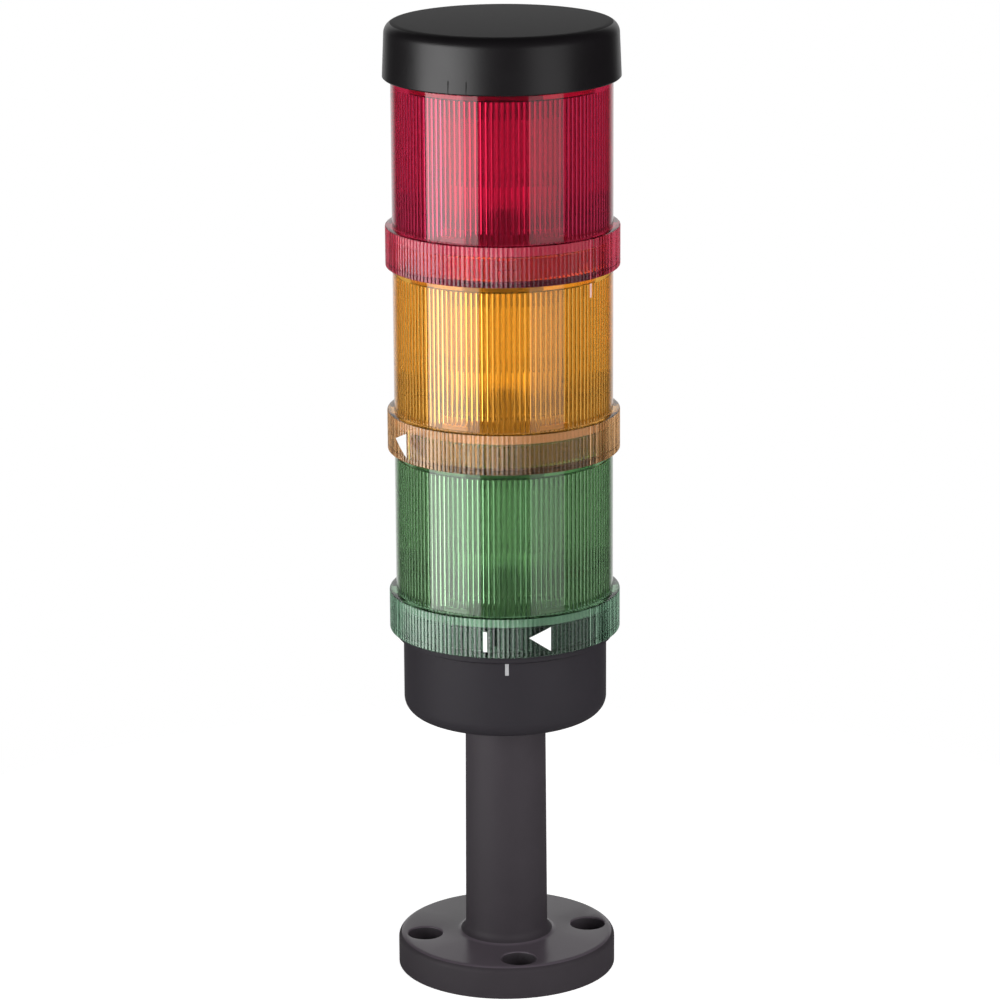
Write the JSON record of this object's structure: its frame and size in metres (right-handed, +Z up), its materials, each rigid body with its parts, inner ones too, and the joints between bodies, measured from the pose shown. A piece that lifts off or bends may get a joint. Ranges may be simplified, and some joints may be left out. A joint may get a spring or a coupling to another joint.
{
  "type": "stack light",
  "caption": "Signal tower: colour lens modules stacked by twist locks on a terminal housing, with a tube on a round screw-down foot and a domed-edge cap.",
  "frame": {"origin": "middle of the foot's underside, on the tube's axis", "axes": "+Z up the tube, -Y towards the front, where the terminal housing's mark is, +X to the right seen from the front"},
  "size_m": [0.0706, 0.0706, 0.2942],
  "materials": {
    "foot_plastic": "matt moulded black polyamide, fine grain",
    "black_plastic": "satin moulded black polyamide",
    "grey_plastic": "grey moulded plastic",
    "nut_plastic": "black moulded plastic",
    "green_lens": "clear green polycarbonate, fluted inside",
    "yellow_lens": "clear yellow polycarbonate, fluted inside",
    "red_lens": "clear red polycarbonate, fluted inside",
    "brass": "bright",
    "plated_brass": "nickel plated",
    "steel": "zinc plated",
    "rubber": "matt",
    "lamp_glass": "frosted"
  },
  "bodies": {
    "root": {"foot_with_tube": "foot_plastic", "foot_seal": "rubber", "tube_seal": "rubber", "tube_nut": "nut_plastic", "terminal_housing": "black_plastic", "terminal_block": "grey_plastic", "terminal_screws": "steel", "terminal_strips": "brass", "terminal_neck_seal": "rubber"},
    "green_module": {"green_lens": "green_lens", "green_carrier": "grey_plastic", "green_lampholder": "plated_brass", "green_lamp": "lamp_glass", "green_contact_column": "grey_plastic", "green_contact_strips": "brass", "green_contact_pins": "brass", "green_neck_seal": "rubber"},
    "yellow_module": {"yellow_lens": "yellow_lens", "yellow_carrier": "grey_plastic", "yellow_lampholder": "plated_brass", "yellow_lamp": "lamp_glass", "yellow_contact_column": "grey_plastic", "yellow_contact_strips": "brass", "yellow_contact_pins": "brass", "yellow_neck_seal": "rubber"},
    "red_module": {"red_lens": "red_lens", "red_carrier": "grey_plastic", "red_lampholder": "plated_brass", "red_lamp": "lamp_glass", "red_contact_column": "grey_plastic", "red_contact_strips": "brass", "red_contact_pins": "brass", "red_neck_seal": "rubber"},
    "cap_body": {"cap": "black_plastic"}
  },
  "joints": [
    {"name": "green_twist", "type": "hinge", "parent": "root", "child": "green_module", "pos_m": [0, 0, 0.109], "axis": [0, 0, 1], "range_deg": [0, 11]},
    {"name": "yellow_twist", "type": "hinge", "parent": "green_module", "child": "yellow_module", "pos_m": [0, 0, 0.1652], "axis": [0, 0, 1], "range_deg": [0, 11]},
    {"name": "red_twist", "type": "hinge", "parent": "yellow_module", "child": "red_module", "pos_m": [0, 0, 0.2214], "axis": [0, 0, 1], "range_deg": [0, 11]},
    {"name": "cap_twist", "type": "hinge", "parent": "red_module", "child": "cap_body", "pos_m": [0, 0, 0.2776], "axis": [0, 0, 1], "range_deg": [0, 11]}
  ]
}
